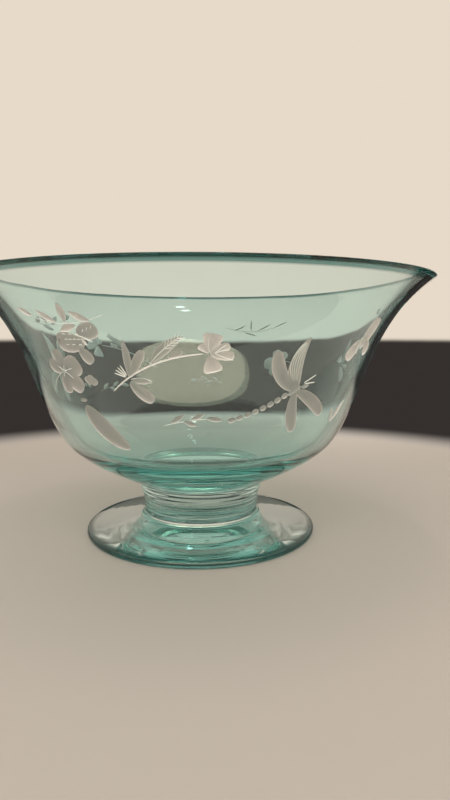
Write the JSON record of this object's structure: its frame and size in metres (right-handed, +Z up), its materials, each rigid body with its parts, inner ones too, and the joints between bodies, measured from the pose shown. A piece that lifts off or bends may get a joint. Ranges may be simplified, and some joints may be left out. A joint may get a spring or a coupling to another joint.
{
  "type": "footed glass bowl",
  "caption": "Wide footed bowl of sea-green blown glass with a flared rim, a short fused stem, a round foot and matte engraved flowers, leaves and a dragonfly.",
  "frame": {"origin": "centre of the flat ring that the foot stands on", "axes": "+Z up along the bowl's axis; the outside is a solid of revolution, so +X and +Y are any two level directions; the engraved front faces -Y"},
  "size_m": [0.234, 0.234, 0.132],
  "materials": {
    "sea_green_glass": "fire-polished",
    "engraved_glass": "matte wheel-engraved"
  },
  "bodies": {
    "root": {"foot": "sea_green_glass", "lower_merese": "sea_green_glass", "upper_merese": "sea_green_glass", "bowl": "sea_green_glass"}
  },
  "joints": []
}
